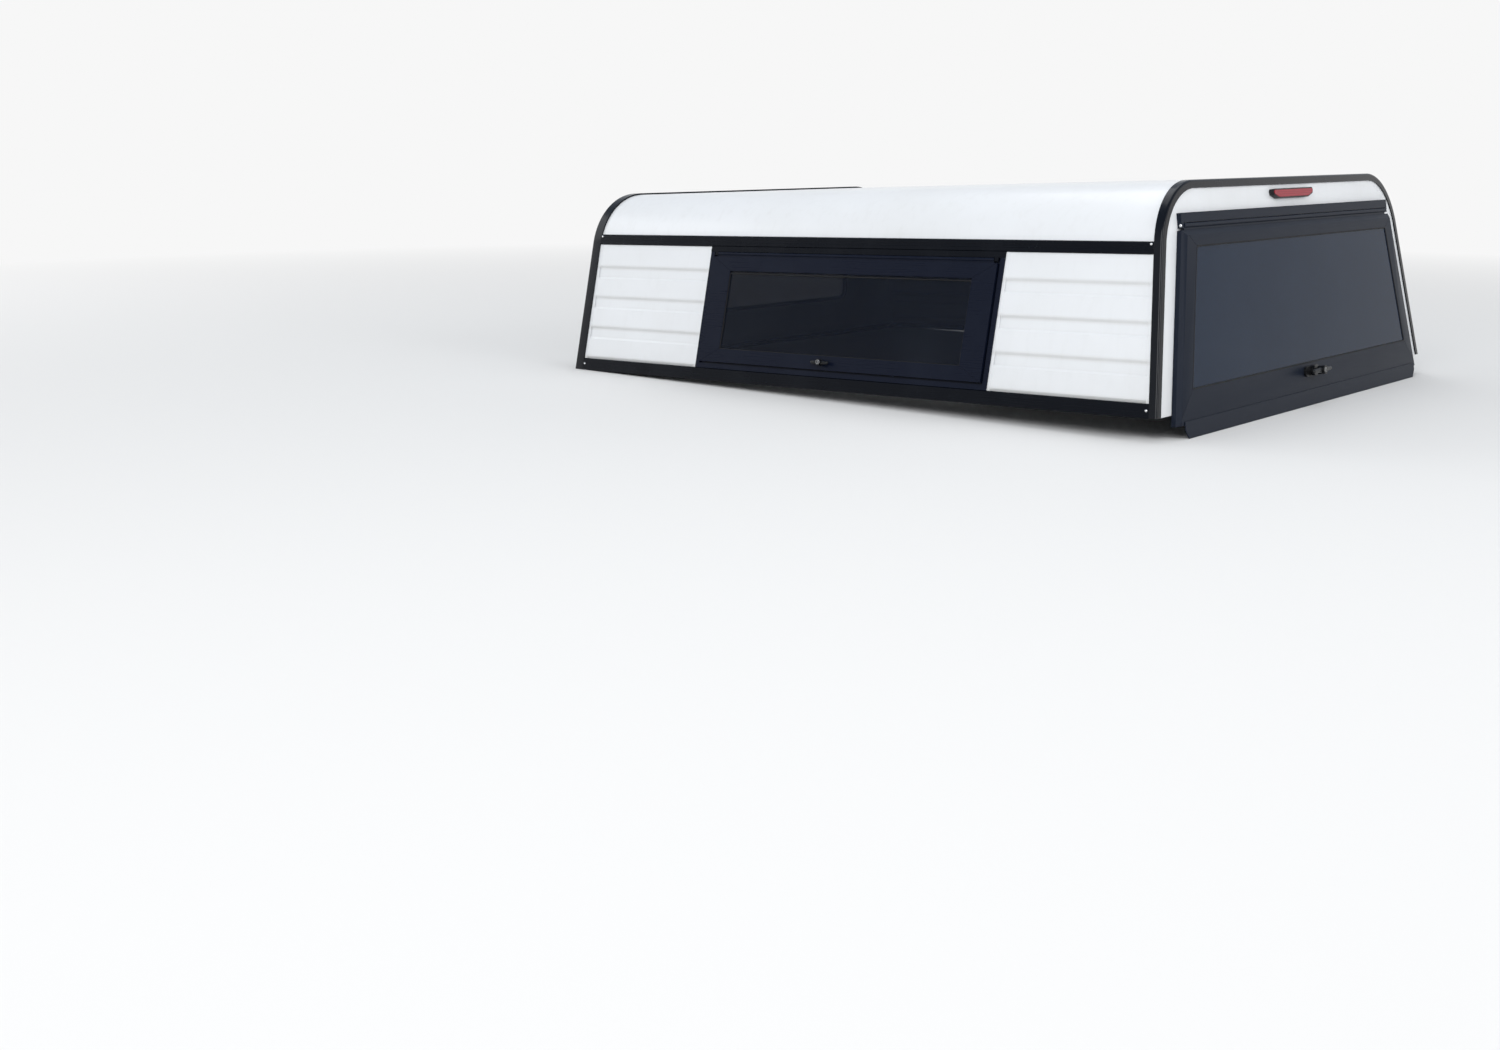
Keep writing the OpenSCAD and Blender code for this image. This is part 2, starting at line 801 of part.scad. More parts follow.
module side_hinge_strip(side) {
    color("black") placed() on_side(side) {
        side_block(side_half, way_high, belt_level, 0, trim_cap);
        for (end = [-1, 1])
            translate([side_middle + end * (sash_half - lug_length / 2) - lug_length / 2, 0,
                       side_pin_level - side_knuckle])
                cube([lug_length, trim_cap + 1, way_high - side_pin_level + side_knuckle]);
        translate([side_middle - sash_half + 1, side_pin_out, side_pin_level])
            rotate([0, 90, 0]) cylinder(r = side_pin, h = 2 * (sash_half - past));
    }
}

// The line where a stile meets a rail, from the frame's corner to the pane's
module sash_mitre(end, level, pane_level) {
    translate([side_middle, sash_front, 0]) rotate([0, 0, -90])
        mitre([end * sash_half, level], [end * pane_half, pane_level], 0);
}

module side_door_frame(side) {
    length = sash_half - lug_length - 1;
    color("black") placed() on_side(side) {
        difference() {
            side_block(sash_half, sash_low, sash_high, sash_back, sash_front);
            side_block(pane_half, pane_low, pane_high, sash_back - past, sash_front + past);
            side_block(pane_half + glass_lap, pane_low - glass_lap, pane_high + glass_lap,
                       pane_back, pane_back + sash_glass);
            for (end = [-1, 1]) {
                sash_mitre(end, sash_low, pane_low);
                sash_mitre(end, sash_high, pane_high);
            }
        }
        difference() {
            union() {
                translate([side_middle - length, side_pin_out, side_pin_level])
                    rotate([0, 90, 0]) cylinder(r = side_knuckle, h = 2 * length);
                side_block(length, sash_high - 1, side_pin_level, side_pin_out - 1.5,
                           side_pin_out + 1.5);
            }
            translate([side_middle - length - 1, side_pin_out, side_pin_level])
                rotate([0, 90, 0]) cylinder(r = side_pin + pin_clear, h = 2 * length + 2);
        }
    }
}

module side_door_glass(side) {
    color("darkslategray", 0.6) placed() on_side(side)
        side_block(pane_half + glass_lap, pane_low - glass_lap, pane_high + glass_lap,
                   pane_back, pane_back + sash_glass);
}

module side_handle(side) {
    color("black") placed() on_side(side)
        translate([side_middle + side_ahead, sash_front + seat_clear, sash_low + sash_bottom / 2])
            rotate([-90, 0, 0]) rotate([0, 0, 90])
                grip(side_grip, side_hub, side_stand - seat_clear, side_grip_thick);
}

roof_skin();
belt_trim(1);  // belt_trim_left
belt_trim(-1);  // belt_trim_right
base_rail_side(1);  // base_rail_left
base_rail_side(-1);  // base_rail_right
base_rail_front();
front_arch_trim();
rear_arch_trim();
siding_front(1);  // siding_front_left
siding_rear(1);  // siding_rear_left
siding_front(-1);  // siding_front_right
siding_rear(-1);  // siding_rear_right
bulkhead_panel();
bulkhead_window_frame();
bulkhead_window_glass();
rear_header();
rear_jamb(1);  // rear_jamb_left
rear_jamb(-1);  // rear_jamb_right
brake_light_housing();
brake_light_lens();
rear_hinge_rail();
roof_bow(1);  // roof_bow_1
roof_bow(2);  // roof_bow_2
roof_bow(3);  // roof_bow_3
roof_bow(4);  // roof_bow_4
side_surround(1);  // side_surround_left
side_surround(-1);  // side_surround_right
side_hinge_strip(1);  // side_hinge_left
side_hinge_strip(-1);  // side_hinge_right
rear_door_frame();
rear_door_glass();
rear_door_skirt();
rear_handle_base();
rear_handle();
side_door_frame(1);  // side_door_frame_left
side_door_glass(1);  // side_door_glass_left
side_handle(1);  // side_handle_left
side_door_frame(-1);  // side_door_frame_right
side_door_glass(-1);  // side_door_glass_right
side_handle(-1);  // side_handle_right
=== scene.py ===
import json
import math

import bpy
import bmesh
from mathutils import Matrix, Vector

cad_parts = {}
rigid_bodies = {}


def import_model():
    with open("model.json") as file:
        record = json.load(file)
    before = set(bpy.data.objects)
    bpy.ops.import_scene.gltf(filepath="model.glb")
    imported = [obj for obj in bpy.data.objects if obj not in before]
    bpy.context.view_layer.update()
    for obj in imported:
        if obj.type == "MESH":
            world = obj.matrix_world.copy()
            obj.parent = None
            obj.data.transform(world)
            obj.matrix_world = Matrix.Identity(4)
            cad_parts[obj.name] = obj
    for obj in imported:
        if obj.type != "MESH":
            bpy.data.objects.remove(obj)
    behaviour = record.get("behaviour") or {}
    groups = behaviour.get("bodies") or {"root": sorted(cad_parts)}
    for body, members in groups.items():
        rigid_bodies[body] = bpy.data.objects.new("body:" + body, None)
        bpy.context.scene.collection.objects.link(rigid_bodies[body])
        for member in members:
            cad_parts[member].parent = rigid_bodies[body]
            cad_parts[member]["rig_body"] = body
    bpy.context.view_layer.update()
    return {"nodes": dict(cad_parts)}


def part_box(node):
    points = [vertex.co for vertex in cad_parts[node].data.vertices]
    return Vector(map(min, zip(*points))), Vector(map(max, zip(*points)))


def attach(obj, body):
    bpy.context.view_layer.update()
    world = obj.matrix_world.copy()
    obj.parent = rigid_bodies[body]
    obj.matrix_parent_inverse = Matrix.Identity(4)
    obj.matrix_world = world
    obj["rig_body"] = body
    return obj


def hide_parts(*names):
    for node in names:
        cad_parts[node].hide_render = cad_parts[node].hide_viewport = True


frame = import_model()
print("frame loaded:", len(frame["nodes"]), "nodes")

# What the whole canopy shares, in metres and degrees
canopy = {
    "sideLean": 14.25,
    "rearLean": 7.5,
    "seatHeight": 0.060,       # the rails' underside above the floor
    "halfLength": 1.030,
    "halfWidth": 0.85984,      # to the side sheets, at the rails' underside
    "trimCap": 0.005,
    "beltLevel": 0.402,        # up the side wall
    "beltHeight": 0.032,
    "railHeight": 0.036,
    "frontLeg": 0.036,         # the arch trims' widths on the side
    "rearLeg": 0.023,
    "doorMargin": 0.076,       # from the canopy's side to the rear door's edge
    "doorOut": -0.0183,        # the rear door's outer face, from the rear plane
    "sashOut": 0.0093,         # the side doors' outer face, from the side sheets
    "sideMiddle": -0.011,      # the side doors' middle, from mid length
}
sideTilt = math.radians(canopy["sideLean"])
rearTilt = math.radians(canopy["rearLean"])
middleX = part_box("front_arch_trim")[1][0] - canopy["halfLength"]

# Camera, where the photograph was taken from
cameraView = {
    "place": (-2.9613, 4.5557, 0.6061),    # from mid length, at the rails' underside
    "yaw": -48.608,
    "pitch": -11.820,
    "roll": -1.141,
    "focal": 1684.3,                       # in pixels of a picture that is 1500 wide
    "pictureWidth": 1500,
    "sensor": 36,
    "seesTo": 300,
}


def addCamera(view):
    yaw, pitch, roll = (math.radians(view[k]) for k in ("yaw", "pitch", "roll"))
    flat = math.cos(pitch)
    ahead = Vector((flat * math.cos(yaw), flat * math.sin(yaw), math.sin(pitch)))
    level = ahead.cross(Vector((0, 0, 1))).normalized()
    upright = level.cross(ahead)
    right = level * math.cos(roll) + upright * math.sin(roll)
    up = upright * math.cos(roll) - level * math.sin(roll)
    data = bpy.data.cameras.new("photoCamera")
    data.sensor_width = view["sensor"]
    data.lens = view["sensor"] * view["focal"] / view["pictureWidth"]
    data.clip_end = view["seesTo"]
    camera = bpy.data.objects.new("photoCamera", data)
    bpy.context.collection.objects.link(camera)
    place = Vector(view["place"]) + Vector((middleX, 0, canopy["seatHeight"]))
    turn = Matrix((right, up, -ahead)).transposed().to_4x4()
    camera.matrix_world = Matrix.Translation(place) @ turn
    bpy.context.scene.camera = camera
    bpy.context.scene.view_settings.view_transform = "Standard"


addCamera(cameraView)
print("camera set")


class Wire:    # a socket that Python's own operators work on
    def __init__(self, tree, socket):
        self.tree = tree
        self.socket = socket

    def combine(self, operation, *values):
        node = self.tree.nodes.new("ShaderNodeMath")
        node.operation = operation
        for socket, value in zip(node.inputs, values):
            if isinstance(value, Wire):
                self.tree.links.new(value.socket, socket)
            else:
                socket.default_value = value
        return Wire(self.tree, node.outputs[0])

    def math(self, operation, *others):
        return self.combine(operation, self, *others)

    def flipped(self, operation, other):
        return self.combine(operation, other, self)

    def __add__(self, other): return self.math("ADD", other)
    def __radd__(self, other): return self.math("ADD", other)
    def __sub__(self, other): return self.math("SUBTRACT", other)
    def __rsub__(self, other): return self.flipped("SUBTRACT", other)
    def __mul__(self, other): return self.math("MULTIPLY", other)
    def __rmul__(self, other): return self.math("MULTIPLY", other)
    def __truediv__(self, other): return self.math("DIVIDE", other)
    def __rtruediv__(self, other): return self.flipped("DIVIDE", other)
    def __pow__(self, other): return self.math("POWER", other)
    def __rpow__(self, other): return self.flipped("POWER", other)
    def __abs__(self): return self.math("ABSOLUTE")

    def clamp(self, low, high):
        return self.math("MAXIMUM", low).math("MINIMUM", high)

    def ramp(self, low, high):
        return ((self - low) / (high - low)).clamp(0, 1)

    def near(self, centre, width):
        return 1 - (abs(self - centre) / width).clamp(0, 1)


def findSocket(sockets, key):    # by its identifier or by its name without spaces
    return next(s for s in sockets if key in (s.identifier, s.name.replace(" ", "")))


class Nodes:    # a node tree being made
    def __init__(self, tree):
        self.tree = tree

    def make(self, kind, settings=None, **values):
        node = self.tree.nodes.new(kind)
        for key, value in (settings or {}).items():
            setattr(node, key, value)
        for key, value in values.items():
            self.plug(findSocket(node.inputs, key), value)
        return node

    def add(self, kind, settings=None, output=0, **values):
        node = self.make(kind, settings, **values)
        if isinstance(output, str):
            return Wire(self.tree, findSocket(node.outputs, output))
        return Wire(self.tree, node.outputs[output])

    def plug(self, socket, value):
        if isinstance(value, Wire):
            self.tree.links.new(value.socket, socket)
        elif socket.type == "RGBA" and len(value) == 3:
            socket.default_value = tuple(value) + (1,)
        else:
            socket.default_value = value

    def mix(self, factor, first, second):
        return self.add("ShaderNodeMix", {"data_type": "RGBA"}, output="Result_Color",
                        Factor_Float=factor, A_Color=first, B_Color=second)


class Finish(Nodes):    # a material being made
    def __init__(self, name, **values):
        self.material = bpy.data.materials.new(name)
        self.material.use_nodes = True
        super().__init__(self.material.node_tree)
        self.shader = self.tree.nodes["Principled BSDF"]
        for key, value in values.items():
            self.feed(key, value)
        self.place = self.add("ShaderNodeTexCoord", output="Object")
        self.x, self.y, self.z = (self.add("ShaderNodeSeparateXYZ", output=axis, Vector=self.place)
                                  for axis in ("X", "Y", "Z"))

    def feed(self, key, value):
        self.plug(findSocket(self.shader.inputs, key), value)

    def noise(self, size, detail=3.0, stretch=(1, 1, 1), roughness=0.55):
        drawn = self.add("ShaderNodeMapping", Vector=self.place, Scale=stretch)
        return self.add("ShaderNodeTexNoise", Vector=drawn, Scale=1 / size, Detail=detail,
                        Roughness=roughness)

    def bump(self, height, distance, **under):
        return self.add("ShaderNodeBump", Height=height, Distance=distance, **under)

    def slant(self):    # distance up the side wall from the rails' underside
        rise = self.z - canopy["seatHeight"]
        return rise * math.cos(sideTilt) + (canopy["halfWidth"] - abs(self.y)) * math.sin(sideTilt)


# White paint on the roof, siding and flat sheets
whites = {
    "roofWhite": {"waviness": 0.004, "streaks": 0.14, "ribbed": False},
    "sidingWhite": {"waviness": 0.0010, "streaks": 0.09, "ribbed": True},
    "sheetWhite": {"waviness": 0.0012, "streaks": 0.09, "ribbed": False},
}
whitePaint = {
    "clean": (0.79, 0.805, 0.825),
    "dusty": (0.62, 0.62, 0.61),
    "gloss": 0.30,             # roughness where it is clean
    "dull": 0.48,              # and under a full film of dust
    "coat": 0.2,
    "coatGloss": 0.12,
    "patch": {"size": 0.45, "low": 0.42, "high": 0.72, "share": 0.22},
    "run": {"size": 0.02, "low": 0.52, "high": 0.78, "stretch": (1, 1, 0.06)},
    "splash": {"size": 0.06, "height": 0.16, "share": 0.28},
    "speck": {"size": 0.004, "share": 0.05},
    "wave": 0.55,              # size of the broad waves in the sheet
    "skin": {"size": 0.0035, "depth": 0.00005},
}
# Sunk bands in the siding, and the painted shade drawn along them, varied by a noise
ribs = {
    "count": 4,
    "first": 0.068,            # from the belt trim down to the first sunk band
    "pitch": 0.0967,
    "band": 0.034,
    "shadeDrop": 0.004,
    "shade": 0.010,
    "edge": 0.004,
    "edgeShare": 0.18,
    "soot": {"size": 0.08, "least": 0.35, "more": 0.6, "stretch": (0.5, 1, 1)},
}


def ribShade(paint):    # painted shade under each rib, and a fainter painted shade along the lower edge of each sunk band, its strength varied by noise
    level = paint.slant()
    soot = ribs["soot"]
    shadeStrength = soot["least"] + soot["more"] * paint.noise(soot["size"], stretch=soot["stretch"])
    total = 0
    for k in range(ribs["count"]):
        upper = canopy["beltLevel"] - ribs["first"] - k * ribs["pitch"]
        total = level.near(upper - ribs["shadeDrop"], ribs["shade"]) * shadeStrength + total
        total = total + level.near(upper - ribs["band"], ribs["edge"]) * ribs["edgeShare"] * shadeStrength
    return total


def makeWhitePaint(name, values):
    paint = Finish(name, CoatWeight=whitePaint["coat"], CoatRoughness=whitePaint["coatGloss"])
    patch, run, splash, speck, skin = (whitePaint[k] for k in
                                       ("patch", "run", "splash", "speck", "skin"))
    patches = paint.noise(patch["size"], detail=5).ramp(patch["low"], patch["high"])
    runs = paint.noise(run["size"], stretch=run["stretch"]).ramp(run["low"], run["high"])
    low = canopy["seatHeight"]
    near = (1 - paint.z.ramp(low, low + splash["height"])) * splash["share"]
    splashes = near * paint.noise(splash["size"], detail=4)
    film = patches * patch["share"] + runs * values["streaks"] + splashes
    # On the siding the film also takes painted shade along the ribs, so there the dusty colour
    # stands for shade as well as dust
    if values["ribbed"]:
        film = film + ribShade(paint)
    film = film.clamp(0, 1)
    paint.feed("BaseColor", paint.mix(film, whitePaint["clean"], whitePaint["dusty"]))
    duller = film * (whitePaint["dull"] - whitePaint["gloss"])
    specks = paint.noise(speck["size"], detail=2) * speck["share"]
    paint.feed("Roughness", whitePaint["gloss"] + duller + specks)
    broad = paint.bump(paint.noise(whitePaint["wave"], detail=1), values["waviness"])
    paint.feed("Normal", paint.bump(paint.noise(skin["size"], detail=1), skin["depth"],
                                    Normal=broad))
    return paint.material


roofWhite, sidingWhite, sheetWhite = (makeWhitePaint(name, values)
                                      for name, values in whites.items())


# Dark paint on the extruded trims and the door frames. Gloss is the roughness where it is clean,
# shine the specular level, and along draws the die's lines out along the profile.
extrusions = {
    "trimBlack": {"colour": (0.0022, 0.0032, 0.0060), "dusty": (0.009, 0.011, 0.015),
                  "gloss": 0.22, "shine": 0.11, "coat": 0.0, "along": (0.02, 1, 1)},
    "archBlack": {"colour": (0.0024, 0.0034, 0.0062), "dusty": (0.010, 0.012, 0.016),
                  "gloss": 0.18, "shine": 0.13, "coat": 0.20, "along": (1, 1, 0.02)},
    "sashBlack": {"colour": (0.0040, 0.0064, 0.0160), "dusty": (0.010, 0.014, 0.026),
                  "gloss": 0.24, "shine": 0.12, "coat": 0.0, "along": (0.02, 1, 1)},
    "doorCharcoal": {"colour": (0.0095, 0.0134, 0.0235), "dusty": (0.020, 0.024, 0.034),
                     "gloss": 0.32, "shine": 0.08, "coat": 0.0, "along": (1, 0.02, 1)},
}
extrusionWear = {
    "coatGloss": 0.10,
    "haze": {"size": 0.16, "low": 0.45, "high": 0.8, "share": 0.4},
    "mark": {"size": 0.009, "low": 0.62, "high": 0.75, "share": 0.35},
    "markPatch": {"size": 0.09, "low": 0.5, "high": 0.7},
    "dull": 0.16,
    "line": {"size": 0.002, "dull": 0.08, "depth": 0.00006},
    "skin": {"size": 0.003, "depth": 0.00004},
}


def makeExtrusionPaint(name, values):
    wear = extrusionWear
    haze, mark, patch, line, skin = (wear[k] for k in ("haze", "mark", "markPatch", "line", "skin"))
    paint = Finish(name, SpecularIORLevel=values["shine"], CoatWeight=values["coat"],
                   CoatRoughness=wear["coatGloss"])
    lines = paint.noise(line["size"], detail=2, stretch=values["along"])
    hazy = paint.noise(haze["size"], detail=5).ramp(haze["low"], haze["high"])
    marks = (paint.noise(mark["size"]).ramp(mark["low"], mark["high"])
             * paint.noise(patch["size"]).ramp(patch["low"], patch["high"]))
    film = (hazy * haze["share"] + marks * mark["share"]).clamp(0, 1)
    paint.feed("BaseColor", paint.mix(film, values["colour"], values["dusty"]))
    paint.feed("Roughness", values["gloss"] + film * wear["dull"] + lines * line["dull"])
    drawn = paint.bump(lines, line["depth"])
    paint.feed("Normal", paint.bump(paint.noise(skin["size"], detail=1), skin["depth"],
                                    Normal=drawn))
    return paint.material


trimBlack, archBlack, sashBlack, doorCharcoal = (
    makeExtrusionPaint(name, values) for name, values in extrusions.items())


# Tinted glass, clearer where it is meant to be seen through
glasses = {
    "sideGlass": {"colour": (0.0018, 0.0040, 0.0110), "dusty": (0.035, 0.045, 0.065),
                  "alpha": 0.64, "shine": 0.16},
    "rearGlass": {"colour": (0.0060, 0.0160, 0.0370), "dusty": (0.036, 0.054, 0.088),
                  "alpha": 0.96, "shine": 0.10},
    "frontGlass": {"colour": (0.004, 0.007, 0.011), "dusty": (0.05, 0.055, 0.06),
                   "alpha": 0.70, "shine": 0.16},
}
glassDust = {
    "film": {"size": 0.30, "low": 0.42, "high": 0.85, "share": 0.14},
    "wiped": {"size": 0.05, "low": 0.5, "high": 0.8, "share": 0.10, "stretch": (1, 1, 0.4)},
    "gloss": 0.02,
    "dull": 0.22,
}


def makeGlass(name, values):
    glass = Finish(name, Alpha=values["alpha"], SpecularIORLevel=values["shine"])
    film, wiped = glassDust["film"], glassDust["wiped"]
    settled = glass.noise(film["size"], detail=5).ramp(film["low"], film["high"])
    smears = glass.noise(wiped["size"], detail=4, stretch=wiped["stretch"])
    smears = smears.ramp(wiped["low"], wiped["high"])
    dust = (settled * film["share"] + smears * settled * wiped["share"]).clamp(0, 1)
    glass.feed("BaseColor", glass.mix(dust, values["colour"], values["dusty"]))
    glass.feed("Roughness", glassDust["gloss"] + dust * glassDust["dull"])
    return glass.material


sideGlass, rearGlass, frontGlass = (makeGlass(name, values) for name, values in glasses.items())


# Bare metal
metals = {
    "bowAluminium": {"colour": (0.56, 0.57, 0.58), "gloss": 0.38, "along": (1, 0.04, 1)},
    "brightSteel": {"colour": (0.80, 0.80, 0.80), "gloss": 0.20, "along": (1, 1, 1)},
}
metalWear = {
    "grain": {"size": 0.0015, "dull": 0.06, "depth": 0.00004},
    "smear": {"size": 0.03, "low": 0.4, "high": 0.75, "share": 0.5, "dark": 0.72, "dull": 0.12},
}


def makeMetal(name, values):
    metal = Finish(name, Metallic=1.0)
    grain, smear = metalWear["grain"], metalWear["smear"]
    grains = metal.noise(grain["size"], detail=2, stretch=values["along"])
    smears = metal.noise(smear["size"], detail=4).ramp(smear["low"], smear["high"])
    darker = tuple(c * smear["dark"] for c in values["colour"])
    metal.feed("BaseColor", metal.mix(smears * smear["share"], values["colour"], darker))
    metal.feed("Roughness", values["gloss"] + smears * smear["dull"] + grains * grain["dull"])
    metal.feed("Normal", metal.bump(grains, grain["depth"]))
    return metal.material


bowAluminium, brightSteel = (makeMetal(name, values) for name, values in metals.items())


# Plastic and rubber
dullGoods = {
    "handleBlack": {"colour": (0.005, 0.0055, 0.0065), "dusty": (0.018, 0.018, 0.02),
                    "gloss": 0.30, "grain": 0.0012},
    "sealRubber": {"colour": (0.004, 0.004, 0.005), "dusty": (0.016, 0.016, 0.017),
                   "gloss": 0.60, "grain": 0.0010},
    "housingBlack": {"colour": (0.008, 0.007, 0.008), "dusty": (0.02, 0.018, 0.02),
                     "gloss": 0.42, "grain": 0.0012},
}
dullWear = {"shine": 0.3, "haze": 0.05, "low": 0.45, "high": 0.8, "share": 0.5, "dull": 0.15,
            "depth": 0.00012}


def makeDull(name, values):
    dull = Finish(name, SpecularIORLevel=dullWear["shine"])
    haze = dull.noise(dullWear["haze"], detail=4).ramp(dullWear["low"], dullWear["high"])
    dull.feed("BaseColor", dull.mix(haze * dullWear["share"], values["colour"], values["dusty"]))
    dull.feed("Roughness", values["gloss"] + haze * dullWear["dull"])
    dull.feed("Normal", dull.bump(dull.noise(values["grain"], detail=2), dullWear["depth"]))
    return dull.material


handleBlack, sealRubber, housingBlack = (makeDull(name, values)
                                         for name, values in dullGoods.items())

# The brake light's lens, moulded in small prisms; its colour paints a lighter, lit red on each
# prism: a painted highlight
lensPrism = {
    "pitch": 0.006,
    "depth": 0.0004,
    "deep": (0.20, 0.005, 0.014),
    "lit": (0.42, 0.018, 0.036),
    "leastLit": 0.2,
    "moreLit": 0.7,
    "gloss": 0.16,
    "dull": 0.10,
    "dustSize": 0.02,
    "shine": 0.25,
}


def makeLens(values):
    lens = Finish("brakeLensRed", SpecularIORLevel=values["shine"])
    turnsPerMetre = 2 * math.pi / values["pitch"]
    across, upward = ((place * turnsPerMetre).math("SINE") / 2 + 0.5 for place in (lens.y, lens.z))
    prism = across * upward
    # painted highlight: a lighter red on each prism
    lens.feed("BaseColor", lens.mix(prism * values["moreLit"] + values["leastLit"],
                                    values["deep"], values["lit"]))
    lens.feed("Roughness", values["gloss"] + lens.noise(values["dustSize"]) * values["dull"])
    lens.feed("Normal", lens.bump(prism, values["depth"]))
    return lens.material


brakeLensRed = makeLens(lensPrism)
print("materials made:", len(bpy.data.materials))

nodeFinish = {
    "roof_skin": roofWhite,
    "siding": sidingWhite,
    "bulkhead_panel": sheetWhite,
    "rear_header": sheetWhite,
    "rear_jamb": sheetWhite,
    "bulkhead_window_glass": frontGlass,
    "side_door_glass": sideGlass,
    "rear_door_glass": rearGlass,
    "side_door_frame": sashBlack,
    "side_surround": sashBlack,
    "side_hinge": trimBlack,
    "rear_door_frame": doorCharcoal,
    "rear_door_skirt": doorCharcoal,
    "rear_hinge_rail": doorCharcoal,
    "roof_bow": bowAluminium,
    "brake_light_housing": housingBlack,
    "brake_light_lens": brakeLensRed,
    "rear_handle": handleBlack,
    "side_handle": handleBlack,
    "bulkhead_window_frame": trimBlack,
    "belt_trim": trimBlack,
    "base_rail": trimBlack,
    "front_arch_trim": archBlack,
    "rear_arch_trim": archBlack,
}
for nodeName, part in frame["nodes"].items():
    finish = next(f for start, f in nodeFinish.items() if nodeName.startswith(start))
    part.data.materials.clear()
    part.data.materials.append(finish)
print("CAD nodes dressed")


# Places on the leaning faces
def sidePlace(side):
    turn = Matrix.Rotation(sideTilt, 4, "X")
    wall = Matrix.Translation((middleX, canopy["halfWidth"], canopy["seatHeight"])) @ turn
    return (Matrix.Scale(-1, 4, (0, 1, 0)) if side < 0 else Matrix.Identity(4)) @ wall


def rearPlace():
    turn = Matrix.Rotation(rearTilt, 4, "Y")
    return Matrix.Translation((middleX - canopy["halfLength"], 0, canopy["seatHeight"])) @ turn


def settle(name, mesh, material, body, place=None, smooth=True):
    if place is not None:
        mesh.transform(place)
        if place.determinant() < 0:
            mesh.flip_normals()
    piece = bpy.data.objects.new(name, mesh)
    bpy.context.collection.objects.link(piece)
    mesh.materials.clear()
    mesh.materials.append(material)
    for face in mesh.polygons:
        face.use_smooth = smooth
    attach(piece, body)
    return piece


# Softly rounded edges: a copy of a CAD node with its sharp edges rounded stands for it
softening = {
    "archCorner": 0.0065,
    "archEdge": 0.0007,
    "frameEdge": 0.0010,
    "cornerSteps": 5,
    "edgeSteps": 2,
    "weld": 0.00001,
    "flatTurn": math.radians(0.4),     # faces that turn less than this are one flat face
    "sharpTurn": math.radians(38),
    "endOn": 0.98,                     # how squarely a face looks out of the canopy's end
    "sideOn": 0.3,                     # and how little the cap beside it does
    "shoulderLevel": 0.35,             # below this level, outward is straight to the side
}


def softenNode(nodeName, radius, endNormal=None):
    source = frame["nodes"][nodeName]
    mesh = source.data.copy()
    shape = bmesh.new()
    shape.from_mesh(mesh)
    bmesh.ops.remove_doubles(shape, verts=shape.verts, dist=softening["weld"])
    bmesh.ops.dissolve_limit(shape, angle_limit=softening["flatTurn"], verts=shape.verts,
                             edges=shape.edges)
    if endNormal is not None:
        roundEdges(shape, [e for e in shape.edges if isOuterCorner(e, endNormal)],
                   softening["archCorner"], softening["cornerSteps"])
    roundEdges(shape, [e for e in shape.edges if len(e.link_faces) == 2
                       and e.calc_face_angle(0) > softening["sharpTurn"]],
               radius, softening["edgeSteps"])
    shape.to_mesh(mesh)
    shape.free()
    piece = settle(nodeName + "_rounded", mesh, source.data.materials[0], source["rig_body"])
    weigh = piece.modifiers.new("weigh", "WEIGHTED_NORMAL")
    weigh.keep_sharp = True
    flatten(piece)
    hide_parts(nodeName)


def roundEdges(shape, edges, radius, steps):
    bmesh.ops.bevel(shape, geom=edges, offset=radius, segments=steps, profile=0.5,
                    affect="EDGES", clamp_overlap=True)
    for parts in (shape.verts, shape.edges, shape.faces):    # a bevel's order varies by run
        rank = {part: k for k, part in enumerate(sorted(parts, key=cornersOf))}
        parts.sort(key=rank.get)


def cornersOf(part):
    verts = [part] if isinstance(part, bmesh.types.BMVert) else part.verts
    return sorted(tuple(vert.co) for vert in verts)


def isOuterCorner(edge, endNormal):    # between an arch trim's end face and its outer cap
    if len(edge.link_faces) != 2:
        return False
    ends = [f for f in edge.link_faces if f.normal.dot(endNormal) > softening["endOn"]]
    caps = [f for f in edge.link_faces if abs(f.normal.dot(endNormal)) < softening["sideOn"]]
    if len(ends) != 1 or len(caps) != 1:
        return False
    middle = (edge.verts[0].co + edge.verts[1].co) / 2
    outward = Vector((0, middle.y, max(0, middle.z - softening["shoulderLevel"])))
    return caps[0].normal.dot(outward) > 0


def flatten(piece):
    graph = bpy.context.evaluated_depsgraph_get()
    mesh = bpy.data.meshes.new_from_object(piece.evaluated_get(graph))
    piece.modifiers.clear()
    piece.data = mesh


rearNormal = Vector((-math.cos(rearTilt), 0, math.sin(rearTilt)))
softenNode("front_arch_trim", softening["archEdge"], Vector((1, 0, 0)))
softenNode("rear_arch_trim", softening["archEdge"], rearNormal)
for nodeName in ("rear_door_frame", "side_door_frame_left", "side_door_frame_right",
                 "rear_hinge_rail", "rear_door_skirt", "brake_light_lens"):
    softenNode(nodeName, softening["frameEdge"])
print("edges rounded")


# Geometry Nodes: a bead along a path, and heads of fasteners on points
fineness = {
    "cornerSteps": 5,
    "beadSides": 12,
    "headSegments": 20,
    "headRings": 10,
    "weld": 0.000001,
}


class Recipe(Nodes):    # a Geometry Nodes tree being made
    def __init__(self, name, inputs):
        super().__init__(bpy.data.node_groups.new(name, "GeometryNodeTree"))
        face = self.tree.interface
        face.new_socket("Geometry", in_out="INPUT", socket_type="NodeSocketGeometry")
        for title, kind in inputs.items():
            face.new_socket(title, in_out="INPUT", socket_type=kind)
        face.new_socket("Geometry", in_out="OUTPUT", socket_type="NodeSocketGeometry")
        self.given = self.make("NodeGroupInput").outputs

    def value(self, title):
        return Wire(self.tree, self.given[title])

    def finish(self, geometry):
        smooth = self.add("GeometryNodeSetShadeSmooth", Geometry=geometry)
        real = self.add("GeometryNodeRealizeInstances", Geometry=smooth)
        dressed = self.add("GeometryNodeSetMaterial", Geometry=real, Material=self.value("Finish"))
        self.make("NodeGroupOutput", Geometry=dressed)
        return self.tree


